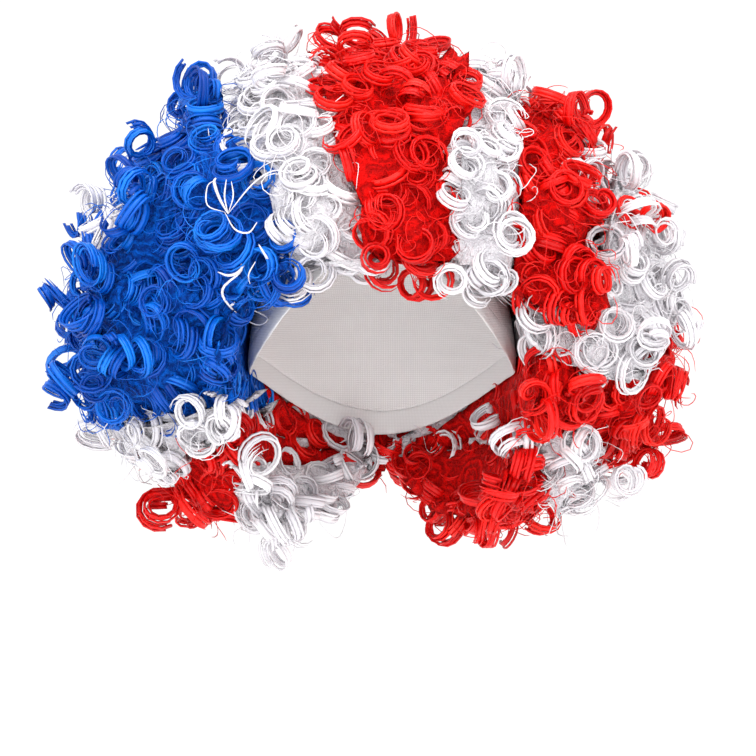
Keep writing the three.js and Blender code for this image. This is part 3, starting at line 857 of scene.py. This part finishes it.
white_wisps()
print("white wisps:", len(WHITE_WISPS))

# %% [markdown]
# ## The depth of the hair
#
# Between the ringlets one looks into shade and more hair. A mass of the same
# colour a finger's width below the surface closes the view there, so neither
# the cap nor the far side shows through. Its finish is a pattern of soft rings
# between painted shade and the middle colour, which stands for the curls
# further in and costs no more triangles.

# %% Pattern of the deep hair
DRIFT = 8 * MM  # how far the rings wander
RING_RATE = 26.0  # how close they lie
RING_WEIGHT = 0.25


def swirl_group():
    """Soft rings of painted shade and middle colour, like curls seen in the shade, from Object
    coordinates.
    """
    group, start, end = new_group(
        "swirled_fibre",
        [
            ("Shade", "NodeSocketColor", (0.5, 0.5, 0.5, 1)),
            ("Mid", "NodeSocketColor", (0.9, 0.9, 0.9, 1)),
            ("Curls", "NodeSocketFloat", 52.0),
        ],
        [("Color", "NodeSocketColor", None), ("Height", "NodeSocketFloat", None)],
    )
    link = group.links.new
    here = add_node(group, "ShaderNodeTexCoord")
    drift = add_node(group, "ShaderNodeTexNoise", [("Scale", 90.0), ("Detail", 2.0)])
    link(here.outputs["Object"], drift.inputs["Vector"])
    shift = add_node(group, "ShaderNodeVectorMath", operation="MULTIPLY_ADD")
    shift.inputs[1].default_value = (DRIFT, DRIFT, DRIFT)
    link(drift.outputs["Color"], shift.inputs[0])
    link(here.outputs["Object"], shift.inputs[2])
    cells = add_node(group, "ShaderNodeTexVoronoi", feature="F1")
    link(shift.outputs[0], cells.inputs["Vector"])
    link(start.outputs["Curls"], cells.inputs["Scale"])
    turns = add_node(group, "ShaderNodeMath", [(1, RING_RATE)], operation="MULTIPLY")
    link(cells.outputs["Distance"], turns.inputs[0])
    rings = add_node(group, "ShaderNodeMath", operation="SINE")
    link(turns.outputs[0], rings.inputs[0])
    grain = add_node(group, "ShaderNodeTexNoise", [("Scale", 700.0), ("Detail", 2.0)])
    link(shift.outputs[0], grain.inputs["Vector"])
    both = add_node(group, "ShaderNodeMath", [(1, RING_WEIGHT)], operation="MULTIPLY_ADD")
    link(rings.outputs[0], both.inputs[0])
    link(grain.outputs["Fac"], both.inputs[2])
    level = add_node(group, "ShaderNodeMapRange", [("From Min", 0.2), ("From Max", 0.85)])
    link(both.outputs[0], level.inputs["Value"])
    mix = add_node(group, "ShaderNodeMix", data_type="RGBA")
    link(level.outputs[0], mix.inputs["Factor"])
    link(start.outputs["Shade"], mix.inputs["A"])
    link(start.outputs["Mid"], mix.inputs["B"])
    link(mix.outputs["Result"], end.inputs["Color"])
    link(both.outputs[0], end.inputs["Height"])
    return group


swirl_pattern = swirl_group()
print("nodes in the deep pattern:", len(swirl_pattern.nodes))

# %% Deep materials
# how light the painted shade of the deep hair is beside the painted shade on a curl
DEEP_SHARE = {"red_fibre": 0.75, "white_fibre": 1.05, "blue_fibre": 0.7}


def deep_material(slot):
    shade, middle = FIBRE_COLOURS[slot][:2]
    material = bpy.data.materials.new("deep_" + slot)
    material.use_nodes = True
    tree = material.node_tree
    shader = tree.nodes["Principled BSDF"]
    pattern = add_node(tree, "ShaderNodeGroup", node_tree=swirl_pattern)
    # painted shade: the darker colour of the rings
    pattern.inputs["Shade"].default_value = (*[DEEP_SHARE[slot] * c for c in shade], 1)
    pattern.inputs["Mid"].default_value = (*middle, 1)
    bump = add_node(tree, "ShaderNodeBump", [("Strength", 1.0), ("Distance", 0.003)])
    tree.links.new(pattern.outputs["Color"], shader.inputs["Base Color"])
    tree.links.new(pattern.outputs["Height"], bump.inputs["Height"])
    tree.links.new(bump.outputs["Normal"], shader.inputs["Normal"])
    shader.inputs["Roughness"].default_value = 0.7
    shader.inputs["Specular IOR Level"].default_value = 0.1
    return material


deep_finish = {slot: deep_material(slot) for slot in FIBRE_COLOURS}
print("deep materials:", len(deep_finish))

# %% [markdown]
# The deep mass is the solid's own form. It is remeshed to an even skin, because
# the solid's long flat faces would show, then let down towards the cap, and
# swelled at the sides so that neighbouring masses meet and leave no slit.

# %% Deep hair
DEEP_VOXEL = 8 * MM
DEEP_SINK = 18 * MM
DEEP_SWELL = 2.5 * MM
SIDE_FADE = 1.6  # how soon the swelling ends as the surface turns from sideways


def deep_hair(node):
    source = frame["nodes"][node].data.copy()
    piece = bpy.data.objects.new(node.replace("hair", "deep"), source)
    bpy.context.scene.collection.objects.link(piece)
    remesh = piece.modifiers.new("remesh", "REMESH")
    remesh.mode = "VOXEL"
    remesh.voxel_size = DEEP_VOXEL
    shown = piece.evaluated_get(bpy.context.evaluated_depsgraph_get())
    mesh = bpy.data.meshes.new_from_object(shown)
    piece.modifiers.clear()
    piece.data = mesh
    count = len(mesh.vertices)
    co, no = np.empty(count * 3), np.empty(count * 3)
    mesh.vertices.foreach_get("co", co)
    mesh.vertices.foreach_get("normal", no)
    co, no = co.reshape(-1, 3), no.reshape(-1, 3)
    away = outward(co)
    facing = np.sum(no * away, axis=1)
    sideways = np.clip(1 - SIDE_FADE * np.abs(facing), 0, 1)
    co = co - away * (DEEP_SINK * np.sqrt(np.clip(facing, 0, 1)))[:, None]
    co = co + no * (DEEP_SWELL * sideways)[:, None]
    mesh.vertices.foreach_set("co", co.ravel())
    mesh.update()
    mesh.materials.clear()
    mesh.materials.append(deep_finish[slots[node]])
    for face in mesh.polygons:
        face.use_smooth = True
    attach(piece, "root")
    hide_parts(node)
    return len(mesh.polygons)


print("faces in the deep hair:", sum(deep_hair(node) for node in hair_nodes))

# %% [markdown]
# ## The cap
#
# The cap is a thin knitted net with an elastic band at its rim. Its loops are
# far too small to model one by one, so they are drawn as a pattern of rows and
# columns that gives both the bump and the colour, with painted shade in the low
# places between the stitches.

# %% Knit
CAP_RADIUS = 0.085  # turns an angle round the cap into a length


def knit_group():
    """Small stitches in rows, from Object coordinates, with painted shade where they are low."""
    group, start, end = new_group(
        "knit",
        [("Stitch", "NodeSocketFloat", 0.0016)],
        [("Height", "NodeSocketFloat", None), ("Shade", "NodeSocketFloat", None)],
    )
    link = group.links.new
    here = add_node(group, "ShaderNodeTexCoord")
    split = add_node(group, "ShaderNodeSeparateXYZ")
    link(here.outputs["Object"], split.inputs[0])
    around = add_node(group, "ShaderNodeMath", operation="ARCTAN2")
    link(split.outputs["Y"], around.inputs[0])
    link(split.outputs["X"], around.inputs[1])
    arc = add_node(group, "ShaderNodeMath", [(1, CAP_RADIUS)], operation="MULTIPLY")
    link(around.outputs[0], arc.inputs[0])
    waves = []
    for source in (arc.outputs[0], split.outputs["Z"]):
        turns = add_node(group, "ShaderNodeMath", operation="DIVIDE")
        link(source, turns.inputs[0])
        link(start.outputs["Stitch"], turns.inputs[1])
        angle = add_node(group, "ShaderNodeMath", [(1, 2 * math.pi)], operation="MULTIPLY")
        link(turns.outputs[0], angle.inputs[0])
        wave = add_node(group, "ShaderNodeMath", operation="SINE")
        link(angle.outputs[0], wave.inputs[0])
        size = add_node(group, "ShaderNodeMath", operation="ABSOLUTE")
        link(wave.outputs[0], size.inputs[0])
        waves.append(size)
    knit = add_node(group, "ShaderNodeMath", operation="MULTIPLY")
    link(waves[0].outputs[0], knit.inputs[0])
    link(waves[1].outputs[0], knit.inputs[1])
    soft = add_node(group, "ShaderNodeMath", [(1, 0.5)], operation="POWER")
    link(knit.outputs[0], soft.inputs[0])
    # painted shade: the colour darkens where the stitches are low
    link(soft.outputs[0], end.inputs["Height"])
    link(soft.outputs[0], end.inputs["Shade"])
    return group


knit_pattern = knit_group()


def knit_material(name, dark, light, stitch):
    material = bpy.data.materials.new(name)
    material.use_nodes = True
    tree = material.node_tree
    shader = tree.nodes["Principled BSDF"]
    pattern = add_node(tree, "ShaderNodeGroup", node_tree=knit_pattern)
    pattern.inputs["Stitch"].default_value = stitch
    mix = add_node(tree, "ShaderNodeMix", data_type="RGBA")
    mix.inputs["A"].default_value = (*dark, 1)
    mix.inputs["B"].default_value = (*light, 1)
    bump = add_node(tree, "ShaderNodeBump", [("Strength", 0.6), ("Distance", 0.0006)])
    tree.links.new(pattern.outputs["Shade"], mix.inputs["Factor"])
    tree.links.new(mix.outputs["Result"], shader.inputs["Base Color"])
    tree.links.new(pattern.outputs["Height"], bump.inputs["Height"])
    tree.links.new(bump.outputs["Normal"], shader.inputs["Normal"])
    shader.inputs["Roughness"].default_value = 0.85
    return material


# first the painted shade between the stitches, then the cloth's own colour
net = knit_material("cap_net", (0.74, 0.73, 0.72), (0.93, 0.925, 0.92), 0.0026)
elastic = knit_material("elastic", (0.72, 0.71, 0.7), (0.94, 0.935, 0.93), 0.0018)
print("nodes in the knit:", len(knit_pattern.nodes))

# %% [markdown]
# The solids of the cap and the band are right in shape and too coarse for the
# eye, so copies of them are merged and smoothed. Smoothing rounds the edges back
# from each other at the seam, so both are drawn out there until they meet.

# %% Cap and band
MERGE = 1e-5
SEAM_REACH = 0.6 * MM
SEAM_OVERLAP = 1.0 * MM


def cap_copy(node, neighbour, overlap, material):
    """The cap or its band, drawn out at the seam so that it meets its neighbour."""
    other = search_tree([neighbour])
    bm = bmesh.new()
    bm.from_mesh(frame["nodes"][node].data)
    bmesh.ops.remove_doubles(bm, verts=bm.verts, dist=MERGE)
    bmesh.ops.recalc_face_normals(bm, faces=bm.faces)
    seam = [v for v in bm.verts if other.find_nearest(v.co)[3] < SEAM_REACH]
    bmesh.ops.translate(bm, vec=(0, 0, overlap), verts=seam)
    mesh = bpy.data.meshes.new(node + "_knit")
    bm.to_mesh(mesh)
    bm.free()
    for face in mesh.polygons:
        face.use_smooth = True
    mesh.materials.append(material)
    piece = bpy.data.objects.new(node + "_knit", mesh)
    bpy.context.scene.collection.objects.link(piece)
    smooth = piece.modifiers.new("smooth", "SUBSURF")
    smooth.levels = smooth.render_levels = 2
    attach(piece, "root")
    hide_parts(node)
    return len(mesh.polygons)


crown_faces = cap_copy("cap_crown", "cap_band", -SEAM_OVERLAP, net)
band_faces = cap_copy("cap_band", "cap_crown", SEAM_OVERLAP, elastic)
print("faces in the crown and the band before smoothing:", crown_faces, band_faces)

# %% [markdown]
# ## Sizes
#
# The size of the dressed wig is written down beside that of its solids, to see
# how far the curls stand out.

# %% Sizes
visual_low, visual_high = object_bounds()
beyond = (*(cad_low - visual_low), *(visual_high - cad_high))
print("beyond the solids in mm:", [round(1000 * v, 1) for v in beyond])
